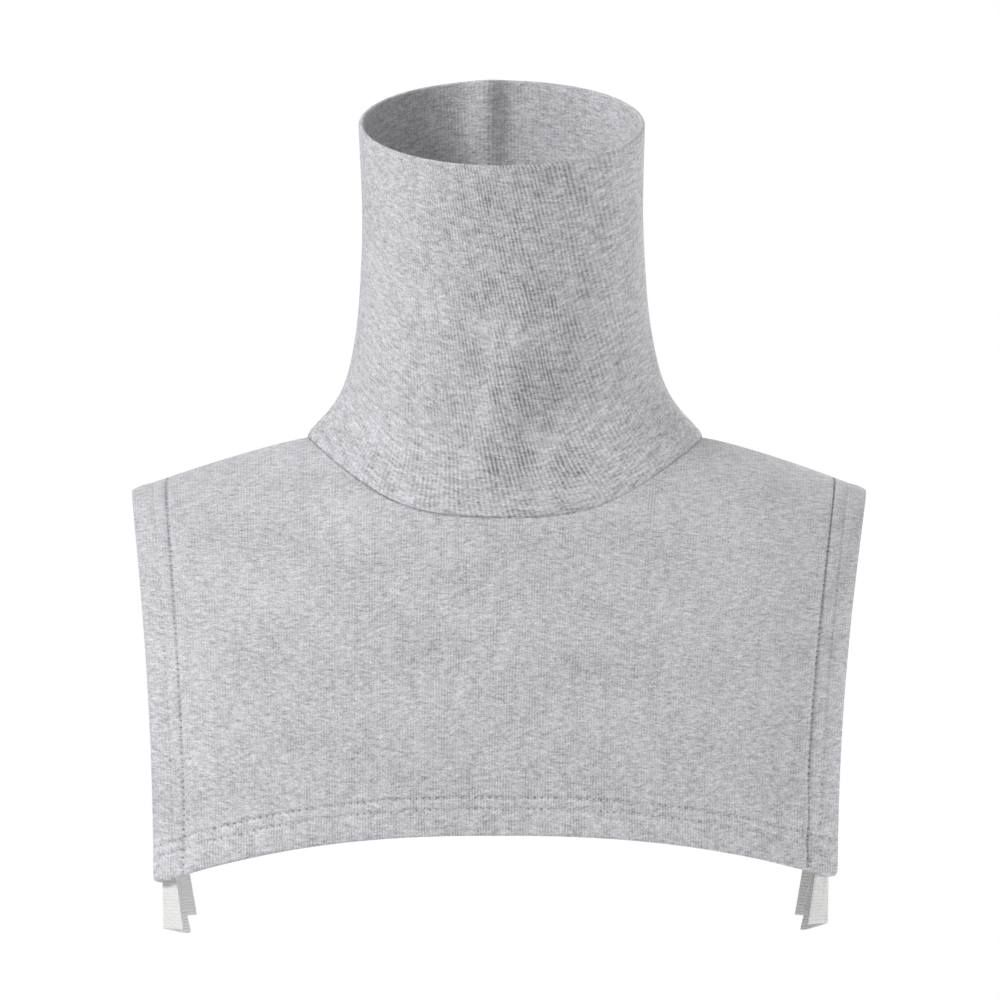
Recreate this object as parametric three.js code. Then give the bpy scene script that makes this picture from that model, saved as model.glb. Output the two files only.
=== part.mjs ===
// A turtleneck dickey: a folded knit collar sewn to a front and a back chest panel, with an elastic
// strap under each arm. Millimetres, +Z up, the front faces -Y and -X is on the left seen from there.
// The origin is the centre of the neck opening, level with the inner ends of the shoulder seams.
// Every surface below is the outer face of the cloth, and its wall goes inwards from there.
import * as THREE from 'three';

// Cloth
const panelWall = 1.3;
const hemWall = 2.6;
const collarWall = 2.4;
const seamGap = 0.3;
const foldDepth = 3.2;

// Neck seam, where the collar meets the panels
const neckSeamWidth = 190;
const neckSeamFrontReach = 75;
const neckSeamBackReach = 58;
const frontCrown = 19.5;
const backCrown = 38;

// Collar above the seam
const rimHeight = 149.5;
const rimWidth = 136;
const rimDepth = 118;
const rimTiltRise = 49;
const rimForward = 28;
const rimAside = -1.6;
const neckWidth = 136;
const neckDepth = 104;
const neckForward = -2;

// Shoulders
const shoulderWidth = 353;
const shoulderDrop = 25;
const shoulderLineY = 5;
const shoulderAside = -2.8;

// Panels
const hemWidth = 325;
const hemAside = -4.5;
const chestReach = 104;
const frontLength = 185;
const frontCornerDropLeft = 27;
const frontCornerDropRight = 24;
const backReach = 92;
const backLength = 195;
const backCornerDrop = 18;
const bottomHemDepth = 19;
const sideHemDepth = 19;
const hemStep = 0.9;

// Straps
const strapHeight = 25;
const strapWall = 1.2;
const strapLap = 8.5;
const strapTuck = 3;
const strapDroop = 5;
const strapBow = -4;
const strapTilt = 6;
const strapFlare = 6;

// Overlocked seam allowances on the inside
const allowanceDepth = 7;
const allowanceWall = 2.2;
const allowanceInset = 0.25;

// Mesh fineness
const collarTurns = 64;
const neckColumns = 12;
const shoulderColumns = 5;
const panelRows = 12;
const strapSteps = 16;
const collarRises = [0.03, 0.06, 0.1, 0.15, 0.21, 0.28, 0.37, 0.47, 0.58, 0.69, 0.8, 0.9];

const quarterTurn = Math.PI / 2;
const neckEdge = neckSeamWidth / shoulderWidth;
const shoulderSlope = shoulderDrop / ((shoulderWidth - neckSeamWidth) / 2);
const mix = THREE.MathUtils.lerp;
const vector = (x, y, z) => new THREE.Vector3(x, y, z);

// The flare of the collar above its seam: 1 is as wide as the seam, 0 as wide as the neck.
const collarFlare = [
  { rise: 0, flare: 1 },
  { rise: 0.04, flare: 0.86 },
  { rise: 0.09, flare: 0.6 },
  { rise: 0.14, flare: 0.41 },
  { rise: 0.2, flare: 0.27 },
  { rise: 0.28, flare: 0.16 },
  { rise: 0.38, flare: 0.07 },
  { rise: 0.5, flare: 0.01 },
  { rise: 0.7, flare: -0.04 },
  { rise: 1, flare: 0 },
];

// Soft folds of the collar. Turn and slant are in degrees round the neck from the front, rise and
// length are shares of its height, and push is a share of foldDepth, outwards if positive.
const collarFolds = [
  { turn: 6, rise: 0.5, slant: 6, width: 11, length: 0.4, push: 0.45 },
  { turn: 28, rise: 0.42, slant: 12, width: 15, length: 0.42, push: -1 },
  { turn: 62, rise: 0.6, slant: -8, width: 15, length: 0.4, push: 0.4 },
  { turn: -40, rise: 0.3, slant: 0, width: 24, length: 0.3, push: 0.35 },
  { turn: 187, rise: 0.95, slant: 4, width: 8, length: 0.3, push: -1.1 },
  { turn: 150, rise: 0.6, slant: -10, width: 18, length: 0.35, push: 0.5 },
  { turn: 215, rise: 0.35, slant: 12, width: 20, length: 0.3, push: -0.6 },
];

// Soft folds of the panels. Across runs from -1 to 1 between the side edges, down is a share of the
// length, width and length are shares too, and push is a share of foldDepth.
const frontFolds = [
  { across: -0.84, down: 0.86, slant: 0, width: 0.07, length: 0.3, push: 0.55 },
  { across: -0.93, down: 0.8, slant: 0, width: 0.03, length: 0.3, push: -0.5 },
  { across: 0.86, down: 0.8, slant: 0.05, width: 0.06, length: 0.28, push: -0.6 },
  { across: 0.72, down: 0.42, slant: 0.2, width: 0.09, length: 0.3, push: 0.4 },
  { across: 0.04, down: 0.98, slant: 0, width: 0.05, length: 0.12, push: 0.4 },
];
const backFolds = [
  { across: -0.3, down: 0.72, slant: 0.05, width: 0.13, length: 0.35, push: 0.7 },
  { across: 0.08, down: 0.8, slant: -0.05, width: 0.12, length: 0.3, push: -0.8 },
  { across: 0.45, down: 0.75, slant: 0.04, width: 0.13, length: 0.35, push: 0.6 },
];

// How each panel falls from the shoulder line to its hem: 1 is a straight fall, 2 a quarter circle.
// The first row mirrors the third, so that the curve is level at the middle.
const frontFall = [
  { across: -0.35, fall: 1.95 },
  { across: 0, fall: 2.1 },
  { across: 0.35, fall: 1.95 },
  { across: 0.7, fall: 2.1 },
  { across: 1, fall: 2.6 },
];
const backFall = [
  { across: -0.35, fall: 2.9 },
  { across: 0, fall: 3.2 },
  { across: 0.35, fall: 2.9 },
  { across: 0.7, fall: 2.4 },
  { across: 1, fall: 2.4 },
];

// The two panels. Crown is how far the shoulder line would rise under the collar, and softening is
// how quickly that rise gets softer further down.
const frontSide = {
  facing: -1,
  reach: chestReach,
  length: frontLength,
  cornerDrops: [frontCornerDropLeft, frontCornerDropRight],
  crown: frontCrown,
  crownSoftening: 0.6,
  neckReach: neckSeamFrontReach,
  neckBend: 1.01,
  roundness: 2.4,
  roundWidth: 1.055,
  fall: frontFall,
  folds: frontFolds,
};
const backSide = {
  facing: 1,
  reach: backReach,
  length: backLength,
  cornerDrops: [backCornerDrop, backCornerDrop],
  crown: backCrown,
  crownSoftening: 2.5,
  neckReach: neckSeamBackReach,
  neckBend: 1,
  roundness: 2.6,
  roundWidth: 1.05,
  fall: backFall,
  folds: backFolds,
};

// The share of a panel's half width that hangs from the neck seam. The rest hangs from the shoulder.
const neckShare = 0.52;
const shoulderBend = 1.2;
const crownBend = 1.08;
const hemBend = 2.4;
const taperBend = 2.05;
const fanBend = 0.8;

// The hem's length along its curve, as a share of its width.
const hemCurve = 1.12;

// The folds fade out over these shares of the collar's height and the panels' length at the seams.
const collarFoldFade = 0.12;
const panelFoldFade = 0.15;

// A smooth curve through one column of a table.
function readTable(rows, placeName, valueName, place) {
  const places = rows.map((row) => row[placeName]);
  const values = rows.map((row) => row[valueName]);
  const curve = new THREE.CubicInterpolant(places, values, 1, [0]);
  return curve.evaluate(place)[0];
}

// The outward push of a list of folds at a place, as a sum of bell shapes.
function bell(distance, width) {
  return Math.exp(-((distance / width) ** 2));
}

function foldPush(folds, placeName, alongName, place, along) {
  let push = 0;
  for (const fold of folds) {
    const above = along - fold[alongName];
    const aside = place(fold[placeName] + fold.slant * above);
    push += fold.push * bell(aside, fold.width) * bell(above, fold.length);
  }
  return push * foldDepth;
}

// The shoulder line, and under the collar the crown that it would rise to.
function shoulderLineHeight(side, across, drop) {
  const out = (Math.abs(across) - neckEdge) / (1 - neckEdge);
  if (out > 0) return -shoulderDrop * out ** shoulderBend;
  return side.crown * (1 - (across / neckEdge) ** 2) ** (crownBend + side.crownSoftening * drop);
}

function panelReach(side, across) {
  const round = Math.abs(across / side.roundWidth) ** side.roundness;
  return side.reach * (1 - round) ** (1 / side.roundness);
}

// A panel's surface. Across is -1 to 1 between the side edges, and angle turns from 0 on the
// shoulder line, where the cloth lies flat, to a quarter turn at the hem, where it hangs.
function panelPoint(side, across, angle) {
  const fall = readTable(side.fall, 'across', 'fall', Math.abs(across));
  const drop = 1 - Math.max(0, Math.cos(angle)) ** (2 / fall);
  const forward = Math.max(0, Math.sin(angle)) ** (2 / fall);
  const taper = 1 - (1 - drop) ** taperBend;
  const out = Math.max(0, (Math.abs(across) - neckEdge) / (1 - neckEdge));
  const cornerDrop = side.cornerDrops[across < 0 ? 0 : 1];
  const hemHeight = -side.length - cornerDrop * Math.abs(across) ** hemBend;
  return vector(
    (across * mix(shoulderWidth, hemWidth, taper)) / 2 + mix(shoulderAside * out ** 1.5, hemAside, taper),
    shoulderLineY + side.facing * panelReach(side, across) * forward,
    mix(shoulderLineHeight(side, across, drop), hemHeight, drop),
  );
}

// Where the neck seam runs on the panels: turn is 0 at the front, a quarter turn at +X and half a
// turn at the back.
function neckSeamSpot(turn) {
  const ahead = Math.cos(turn);
  const side = ahead > 0 ? frontSide : backSide;
  const across = Math.sin(turn) * neckEdge;
  const fall = readTable(side.fall, 'across', 'fall', Math.abs(across));
  const reach = side.neckReach * Math.abs(ahead) ** side.neckBend;
  const forward = reach / panelReach(side, across);
  return { side, across, angle: Math.asin(forward ** (fall / 2)) };
}

function neckSeamPoint(turn) {
  const spot = neckSeamSpot(turn);
  return panelPoint(spot.side, spot.across, spot.angle);
}

// The direction that the cloth's outer side faces along the neck seam, halfway between the panel's
// and the collar's. It tips up most at the shoulders, where the panel lies flat. Turn counts half
// turns, and the first and last rows are mirror images, so that the curve is level at 0 and 1.
const seamFacing = [
  { turn: -0.5, up: 1.3 },
  { turn: 0, up: 0.27 },
  { turn: 0.5, up: 1.3 },
  { turn: 1, up: 0.6 },
  { turn: 1.5, up: 1.3 },
];

function neckSeamFacing(turn) {
  const halfTurns = Math.abs(Math.atan2(Math.sin(turn), Math.cos(turn))) / Math.PI;
  const up = readTable(seamFacing, 'turn', 'up', halfTurns);
  const along = neckSeamPoint(turn + 0.01).sub(neckSeamPoint(turn - 0.01)).normalize();
  const facing = vector(Math.sin(turn), -Math.cos(turn), up);
  return facing.addScaledVector(along, -facing.dot(along)).normalize();
}

// The direction across the neck seam, from the panels to the collar.
function towardsCollar(turn) {
  const along = neckSeamPoint(turn + 0.01).sub(neckSeamPoint(turn - 0.01));
  return neckSeamFacing(turn).cross(along).normalize();
}

// The plain neck tube at a share of the collar's height, without its flare.
function neckTubePoint(turn, rise) {
  const width = mix(neckWidth, rimWidth, rise);
  const depth = mix(neckDepth, rimDepth, rise);
  const forward = mix(neckForward, rimForward, rise);
  return vector(
    (width / 2) * Math.sin(turn) + rimAside * rise,
    -forward - (depth / 2) * Math.cos(turn),
    0,
  );
}

// Collar: the neck tube widened by the flare towards the seam, and pushed in and out by its folds.
function collarPoint(turn, rise) {
  const flare = readTable(collarFlare, 'rise', 'flare', rise);
  const seam = neckSeamPoint(turn);
  const spread = seam.clone().sub(neckTubePoint(turn, 0)).multiplyScalar(flare);
  const point = neckTubePoint(turn, rise).add(spread);
  const push = foldPush(collarFolds, 'turn', 'rise', (foldTurn) => {
    const away = turn - THREE.MathUtils.degToRad(foldTurn);
    return THREE.MathUtils.radToDeg(Math.atan2(Math.sin(away), Math.cos(away)));
  }, rise);
  const fade = Math.min(1, rise / collarFoldFade);
  point.x += Math.sin(turn) * push * fade;
  point.y -= Math.cos(turn) * push * fade;
  point.z = mix(seam.z, rimHeight - (rimTiltRise / 2) * Math.cos(turn), rise);
  return point;
}

// The normal of a surface point(a, b), by small steps either way.
function surfaceNormal(pointAt, a, b, stepA, stepB) {
  const alongA = pointAt(a + stepA, b).sub(pointAt(a - stepA, b));
  const alongB = pointAt(a, b + stepB).sub(pointAt(a, b - stepB));
  return alongA.cross(alongB).normalize();
}

const collarNormal = (turn, rise) => surfaceNormal(collarPoint, turn, rise, 0.02, 0.01);

// One section of the collar: up the outer face, over the folded rim and down the inner face.
function collarSection(turn) {
  const outer = [];
  const inner = [];
  const start = neckSeamPoint(turn).addScaledVector(towardsCollar(turn), seamGap / 2);
  outer.push(start);
  inner.unshift(start.clone().addScaledVector(neckSeamFacing(turn), -collarWall));
  const rimStart = 1 - collarWall / 2 / rimHeight;
  for (const rise of [...collarRises, rimStart]) {
    const point = collarPoint(turn, rise);
    outer.push(point);
    inner.unshift(point.clone().addScaledVector(collarNormal(turn, rise), -collarWall));
  }
  const normal = collarNormal(turn, rimStart);
  const top = collarPoint(turn, 1).sub(collarPoint(turn, rimStart)).normalize();
  const centre = collarPoint(turn, rimStart).addScaledVector(normal, -collarWall / 2);
  const fold = [45, 90, 135].map((degrees) => {
    const angle = THREE.MathUtils.degToRad(degrees);
    return centre.clone()
      .addScaledVector(normal, (collarWall / 2) * Math.cos(angle))
      .addScaledVector(top, (collarWall / 2) * Math.sin(angle));
  });
  return [...outer, ...fold, ...inner];
}

// Where a panel's column starts: on the neck seam, or further out on the shoulder seam.
function columnTop(side, across) {
  const reachOut = Math.abs(across);
  if (reachOut <= neckShare) {
    const turn = (across / neckShare) * quarterTurn;
    return neckSeamSpot(side.facing < 0 ? turn : Math.PI - turn);
  }
  const out = (reachOut - neckShare) / (1 - neckShare);
  return { across: Math.sign(across) * mix(neckEdge, 1, out), angle: 0 };
}

// One column of a panel from its top edge to its hem, with the length of cloth down to each point.
function panelColumn(side, across, fineness = 96) {
  const top = columnTop(side, across);
  const points = [];
  for (let step = 0; step <= fineness; step += 1) {
    const share = step / fineness;
    const angle = mix(top.angle, quarterTurn, share);
    points.push(panelPoint(side, mix(top.across, across, share ** fanBend), angle));
  }
  const lengths = [0];
  for (let step = 1; step <= fineness; step += 1) {
    lengths.push(lengths[step - 1] + points[step].distanceTo(points[step - 1]));
  }
  return { points, lengths, length: lengths[fineness] };
}

function columnPoint(column, distance) {
  const last = column.lengths.length - 1;
  let step = 1;
  while (step < last && column.lengths[step] < distance) step += 1;
  const start = column.lengths[step - 1];
  const share = (distance - start) / (column.lengths[step] - start);
  return column.points[step - 1].clone().lerp(column.points[step], share);
}

// The columns of a panel, close together at the two side hems.
function panelColumns(hemShare, stepShare) {
  const half = [];
  for (let column = 0; column < neckColumns; column += 1) {
    half.push((neckShare * column) / neckColumns);
  }
  for (let column = 0; column < shoulderColumns; column += 1) {
    half.push(mix(neckShare, 1 - hemShare - stepShare, column / shoulderColumns));
  }
  half.push(1 - hemShare - stepShare, 1 - hemShare, 1);
  return [...half.slice(1).reverse().map((across) => -across), ...half];
}

// A panel's outer face as rows of points, with the wall that each point has behind it.
function panelGrid(side) {
  const halfHem = (hemWidth / 2) * hemCurve;
  const hemShare = sideHemDepth / halfHem;
  const acrosses = panelColumns(hemShare, hemStep / halfHem);
  const grid = acrosses.map((across) => {
    const column = panelColumn(side, across);
    const distances = [];
    for (let row = 0; row < panelRows; row += 1) {
      distances.push(((column.length - bottomHemDepth - hemStep) * row) / panelRows);
    }
    distances.push(column.length - bottomHemDepth - hemStep);
    distances.push(column.length - bottomHemDepth, column.length);
    const inSideHem = Math.abs(across) > 1 - hemShare - 1e-6;
    return distances.map((distance) => {
      const point = columnPoint(column, distance);
      const down = distance / column.length;
      const inHem = inSideHem || distance > column.length - bottomHemDepth - 1e-6;
      return { point, across, down, wall: inHem ? hemWall : panelWall };
    });
  });
  addNormals(grid, side.facing);
  for (const column of grid) {
    for (const place of column) {
      const push = foldPush(side.folds, 'across', 'down', (centre) => place.across - centre, place.down);
      place.point.addScaledVector(place.normal, push * Math.min(1, place.down / panelFoldFade));
    }
  }
  addNormals(grid, side.facing);
  return grid;
}

// Gives each place of a grid the mean normal of the faces that meet there.
function addNormals(grid, facing) {
  for (const column of grid) {
    for (const place of column) place.normal = vector(0, 0, 0);
  }
  for (let column = 0; column < grid.length - 1; column += 1) {
    for (let row = 0; row < grid[0].length - 1; row += 1) {
      const corners = [
        grid[column][row],
        grid[column + 1][row],
        grid[column + 1][row + 1],
        grid[column][row + 1],
      ];
      const oneWay = corners[2].point.clone().sub(corners[0].point);
      const otherWay = corners[3].point.clone().sub(corners[1].point);
      const area = oneWay.cross(otherWay).multiplyScalar(facing);
      for (const corner of corners) corner.normal.add(area);
    }
  }
  for (const column of grid) {
    for (const place of column) place.normal.normalize();
  }
}

// Moves a panel's top edge half a gap back from the seams, and turns its end face to match.
function fitTopEdge(grid, side) {
  for (const column of grid) {
    const place = column[0];
    const reachOut = Math.abs(place.across);
    if (reachOut >= neckShare) {
      place.point.y += side.facing * (seamGap / 2);
      place.normal = vector(Math.sign(place.across) * shoulderSlope, 0, 1).normalize();
    }
    if (reachOut <= neckShare) {
      const turn = (place.across / neckShare) * quarterTurn;
      const seamTurn = side.facing < 0 ? turn : Math.PI - turn;
      place.point.addScaledVector(towardsCollar(seamTurn), -seamGap / 2);
      place.normal = neckSeamFacing(seamTurn);
    }
  }
}

// Joins closed sections into one body. Each section lists one face's points and then the other's
// in reverse, so that the ends are closed by the strip between the two.
function loftBody(sections, closed) {
  const count = sections[0].length;
  const positions = sections.flat().flatMap((point) => point.toArray());
  const indices = [];
  const addQuad = (a, b, c, d) => indices.push(a, b, c, a, c, d);
  const spans = closed ? sections.length : sections.length - 1;
  for (let span = 0; span < spans; span += 1) {
    const here = span * count;
    const next = ((span + 1) % sections.length) * count;
    for (let point = 0; point < count; point += 1) {
      const after = (point + 1) % count;
      addQuad(here + point, here + after, next + after, next + point);
    }
  }
  if (!closed) {
    const last = (sections.length - 1) * count;
    for (let point = 0; point < count / 2 - 1; point += 1) {
      const across = count - 1 - point;
      addQuad(point, across, across - 1, point + 1);
      addQuad(last + point, last + point + 1, last + across - 1, last + across);
    }
  }
  const geometry = new THREE.BufferGeometry();
  geometry.setAttribute('position', new THREE.Float32BufferAttribute(positions, 3));
  geometry.setIndex(enclosedVolume(positions, indices) < 0 ? indices.reverse() : indices);
  geometry.computeVertexNormals();
  return geometry;
}

function enclosedVolume(positions, indices) {
  const corner = (index) => new THREE.Vector3().fromArray(positions, index * 3);
  let volume = 0;
  for (let face = 0; face < indices.length; face += 3) {
    const [a, b, c] = [0, 1, 2].map((offset) => corner(indices[face + offset]));
    volume += a.dot(b.cross(c)) / 6;
  }
  return volume;
}

function collarGeometry() {
  const sections = [];
  for (let step = 0; step < collarTurns; step += 1) {
    sections.push(collarSection((step / collarTurns) * Math.PI * 2));
  }
  return loftBody(sections, true);
}

function panelGeometry(grid) {
  const sections = grid.map((column) => {
    const outer = column.map((place) => place.point);
    const inner = column.map((place) => place.point.clone().addScaledVector(place.normal, -place.wall));
    return [...outer, ...inner.reverse()];
  });
  return loftBody(sections, false);
}

// The neck seam's allowance lies inside the collar, just above the seam.
function neckAllowanceGeometry() {
  const start = 0.006;
  const end = start + allowanceDepth / rimHeight;
  const outerSide = collarWall + seamGap;
  const sections = [];
  for (let step = 0; step < collarTurns; step += 1) {
    const turn = (step / collarTurns) * Math.PI * 2;
    const place = (rise, depth) => (
      collarPoint(turn, rise).addScaledVector(collarNormal(turn, Math.max(rise, 0.02)), -depth)
    );
    sections.push([
      place(start, outerSide),
      place(end, outerSide),
      place(end, outerSide + allowanceWall),
      place(start, outerSide + allowanceWall),
    ]);
  }
  return loftBody(sections, true);
}

// A shoulder seam's allowance lies under the back panel, from the collar to the side hem.
function shoulderAllowanceGeometry(sign) {
  const columns = backGrid.filter((column) => {
    const out = sign * column[0].across;
    return out > neckShare - 1e-6 && column[0].wall === panelWall;
  });
  const inside = (column, distance, depth) => {
    const [upper, lower] = column;
    const share = distance / upper.point.distanceTo(lower.point);
    const faces = [upper, lower].map((place) => (
      place.point.clone().addScaledVector(place.normal, -panelWall - seamGap - depth)
    ));
    return faces[0].lerp(faces[1], share);
  };
  const section = (column) => [
    inside(column, seamGap, 0),
    inside(column, allowanceDepth, 0),
    inside(column, allowanceDepth, allowanceWall),
    inside(column, seamGap, allowanceWall),
  ];
  const sections = columns.map(section);
  const nearNeck = sign > 0 ? 0 : sections.length - 1;
  const next = sign > 0 ? 1 : sections.length - 2;
  sections[nearNeck] = sections[nearNeck].map((point, corner) => (
    point.lerp(sections[next][corner], allowanceInset)
  ));
  return loftBody(sections, false);
}

// A strap starts on the inside of the front corner, turns back along the side and ends on the inside
// of the back corner. Its upper edge is tucked behind the hems, its middle hangs lower and closer to
// the body, and its lower edge is longer by the flare at both ends.
function strapGeometry(sign) {
  const lapPoints = (grid) => {
    const columns = sign > 0 ? grid.slice(-2) : [grid[1], grid[0]];
    const [inset, edge] = columns.map((column) => {
      const place = column[column.length - 1];
      return place.point.clone().addScaledVector(place.normal, -place.wall - 2 * seamGap);
    });
    const height = edge.z + strapTuck;
    const lap = strapLap / sideHemDepth;
    return [1, 0.66, 0.33, 0].map((share) => edge.clone().lerp(inset, share * lap).setZ(height));
  };
  const front = lapPoints(frontGrid);
  const back = lapPoints(backGrid).reverse();
  const middle = front[3].clone().add(back[0]).multiplyScalar(0.5);
  middle.x += sign * strapBow;
  const path = new THREE.CatmullRomCurve3([...front, middle, ...back], false, 'centripetal');
  const whole = path.getLength();
  // A place on the path, which runs straight on past its two ends.
  const pathPlace = (share) => {
    const within = THREE.MathUtils.clamp(share, 0, 1);
    const along = path.getTangentAt(within).setZ(0).normalize();
    const point = path.getPointAt(within).addScaledVector(along, (share - within) * whole);
    const slack = Math.sin(within * Math.PI) ** 2;
    point.z -= strapDroop * slack;
    return { point, slack, inwards: vector(-sign * along.y, sign * along.x, 0) };
  };
  const sections = [];
  for (let step = 0; step <= strapSteps; step += 1) {
    const share = step / strapSteps;
    const upper = pathPlace(share);
    const lower = pathPlace(share + ((2 * share - 1) * strapFlare) / whole);
    lower.point.addScaledVector(lower.inwards, strapTilt * lower.slack);
    lower.point.z -= strapHeight;
    sections.push([
      upper.point,
      lower.point,
      lower.point.clone().addScaledVector(lower.inwards, strapWall),
      upper.point.clone().addScaledVector(upper.inwards, strapWall),
    ]);
  }
  return loftBody(sections, false);
}

const knit = { color: 0xc7c7cc, roughness: 0.95, metalness: 0 };
const elastic = { color: 0xececea, roughness: 0.75, metalness: 0 };

function makeMesh(name, geometry, look) {
  const mesh = new THREE.Mesh(geometry, new THREE.MeshStandardMaterial(look));
  mesh.name = name;
  return mesh;
}

const frontGrid = panelGrid(frontSide);
const backGrid = panelGrid(backSide);
fitTopEdge(frontGrid, frontSide);
fitTopEdge(backGrid, backSide);

const dickey = new THREE.Group();
dickey.add(makeMesh('collar', collarGeometry(), knit));
dickey.add(makeMesh('front_panel', panelGeometry(frontGrid), knit));
dickey.add(makeMesh('back_panel', panelGeometry(backGrid), knit));
dickey.add(makeMesh('neck_seam', neckAllowanceGeometry(), knit));
dickey.add(makeMesh('shoulder_seam_left', shoulderAllowanceGeometry(-1), knit));
dickey.add(makeMesh('shoulder_seam_right', shoulderAllowanceGeometry(1), knit));
dickey.add(makeMesh('strap_left', strapGeometry(-1), elastic));
dickey.add(makeMesh('strap_right', strapGeometry(1), elastic));

export default dickey;
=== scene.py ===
import math

import bpy
import numpy as np
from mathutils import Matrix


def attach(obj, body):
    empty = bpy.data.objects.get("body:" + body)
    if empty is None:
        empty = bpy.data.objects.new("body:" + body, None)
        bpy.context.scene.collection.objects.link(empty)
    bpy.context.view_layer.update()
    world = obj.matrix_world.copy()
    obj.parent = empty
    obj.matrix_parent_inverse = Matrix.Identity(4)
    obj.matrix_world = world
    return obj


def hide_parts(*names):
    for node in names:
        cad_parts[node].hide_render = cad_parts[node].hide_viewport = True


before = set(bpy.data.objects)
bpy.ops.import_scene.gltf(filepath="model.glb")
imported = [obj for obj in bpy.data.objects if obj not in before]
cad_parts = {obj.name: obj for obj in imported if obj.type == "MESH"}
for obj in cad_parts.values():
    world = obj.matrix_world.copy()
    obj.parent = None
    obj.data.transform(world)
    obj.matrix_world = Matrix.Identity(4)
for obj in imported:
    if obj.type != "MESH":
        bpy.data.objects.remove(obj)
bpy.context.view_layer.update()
scene = bpy.context.scene
quarterTurn = math.pi / 2
millimetre = 0.001

# Camera and studio

camera = dict(
    place=(-2.4, -2550, -30),  # level with the shoulders, looking along +Y
    lens=191.25,
    sensor=36,
)

studio = dict(
    sky=(1.0, 1.0, 1.0),
    aroundStrength=0.55,
    overheadStrength=0.32,
    overheadFrom=0.15,  # heights on a unit dome
    overheadTo=0.6,
    lights=[
        dict(name="key", place=(-1700, -1300, 1500), size=800, power=56),  # upper left in front
        dict(name="fill", place=(1850, -450, -300), size=700, power=14.5),  # low on the right
        dict(name="back", place=(700, 2200, 1100), size=1400, power=40),
    ],
)

floor = dict(
    height=-420,
    size=2800,
    fadeFrom=450,  # from the middle outwards
    surface={"Base Color": (0.86, 0.86, 0.86, 1), "Roughness": 0.9},
)


def makeCamera():
    data = bpy.data.cameras.new("camera")
    data.lens = camera["lens"]
    data.sensor_width = camera["sensor"]
    made = bpy.data.objects.new("camera", data)
    made.location = [length * millimetre for length in camera["place"]]
    made.rotation_euler = (quarterTurn, 0, 0)
    scene.collection.objects.link(made)
    scene.camera = made


def makeLight(name, place, size, power):
    data = bpy.data.lights.new(name, "AREA")
    data.shape = "DISK"
    data.size = size * millimetre
    data.energy = power
    made = bpy.data.objects.new(name, data)
    made.location = [length * millimetre for length in place]
    towards = -made.location
    made.rotation_euler = towards.to_track_quat("-Z", "Y").to_euler()
    scene.collection.objects.link(made)


def makeFloor():
    # A pale sheet that fades into the white around it, so that its edges don't show.
    half = floor["size"] * millimetre / 2
    corners = [(-half, -half, 0), (half, -half, 0), (half, half, 0), (-half, half, 0)]
    mesh = bpy.data.meshes.new("floor")
    mesh.from_pydata(corners, [], [(0, 1, 2, 3)])
    made = bpy.data.objects.new("floor", mesh)
    made.location = (0, 0, floor["height"] * millimetre)
    scene.collection.objects.link(made)
    paper, tree, shader = newMaterial("floor", floor["surface"])
    place = addNode(tree, "ShaderNodeTexCoord", {}).outputs["Object"]
    away = addNode(tree, "ShaderNodeVectorMath", {0: place}, operation="LENGTH").outputs["Value"]
    gone = addNode(
        tree, "ShaderNodeMapRange",
        {"Value": away, "From Min": floor["fadeFrom"] * millimetre, "From Max": half},
        interpolation_type="SMOOTHSTEP",
    ).outputs[0]
    clear = addNode(tree, "ShaderNodeBsdfTransparent", {}).outputs[0]
    faded = addNode(tree, "ShaderNodeMixShader", {0: gone, 1: shader.outputs[0], 2: clear})
    tree.links.new(faded.outputs[0], tree.nodes["Material Output"].inputs["Surface"])
    mesh.materials.append(paper)


def makeStudio():
    # The world is dimmer overhead than around, and white wherever the camera sees it.
    world = bpy.data.worlds.new("studio")
    world.use_nodes = True
    tree = world.node_tree
    sky = tree.nodes["Background"]
    sky.inputs["Color"].default_value = (*studio["sky"], 1)
    dome = addNode(tree, "ShaderNodeTexCoord", {}).outputs["Generated"]
    height = addNode(tree, "ShaderNodeSeparateXYZ", {"Vector": dome}).outputs["Z"]
    dimmed = addNode(tree, "ShaderNodeMapRange", {
        "Value": height, "From Min": studio["overheadFrom"], "From Max": studio["overheadTo"],
        "To Min": studio["aroundStrength"], "To Max": studio["overheadStrength"],
    })
    seen = addNode(tree, "ShaderNodeLightPath", {}).outputs["Is Camera Ray"]
    tree.links.new(math2(tree, "MAXIMUM", dimmed.outputs[0], seen), sky.inputs["Strength"])
    scene.world = world
    scene.view_settings.view_transform = "Standard"
    for light in studio["lights"]:
        makeLight(**light)
    makeFloor()


# Numbers on grids

def mix(a, b, share):
    return a + (b - a) * share


def smoothStep(low, high, value):
    share = np.clip((value - low) / (high - low), 0, 1)
    return share * share * (3 - 2 * share)


def bell(distance, width):
    return np.exp(-((distance / width) ** 2))


def unit(vectors):
    return vectors / np.maximum(np.linalg.norm(vectors, axis=-1, keepdims=True), 1e-12)


def readCurve(knots, values, places):
    # A smooth curve through the values: between two knots it is a cubic, and its slope at a knot is
    # the mean of the slopes of the straight lines on both sides.
    knots, values = np.array(knots, float), np.array(values, float)
    places = np.asarray(places, float)
    slopes = np.diff(values) / np.diff(knots)
    slopes = (np.append(slopes[:1], slopes) + np.append(slopes, slopes[-1:])) / 2
    spot = np.clip(np.searchsorted(knots, places, side="right") - 1, 0, len(knots) - 2)
    step = knots[spot + 1] - knots[spot]
    share = np.clip((places - knots[spot]) / step, 0, 1)
    rest = 1 - share
    start = (1 + 2 * share) * rest**2 * values[spot] + share * rest**2 * step * slopes[spot]
    end = share**2 * (1 + 2 * rest) * values[spot + 1] - share**2 * rest * step * slopes[spot + 1]
    return start + end


def readTable(rows, placeName, valueName, places):
    return readCurve([row[placeName] for row in rows], [row[valueName] for row in rows], places)


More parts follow.
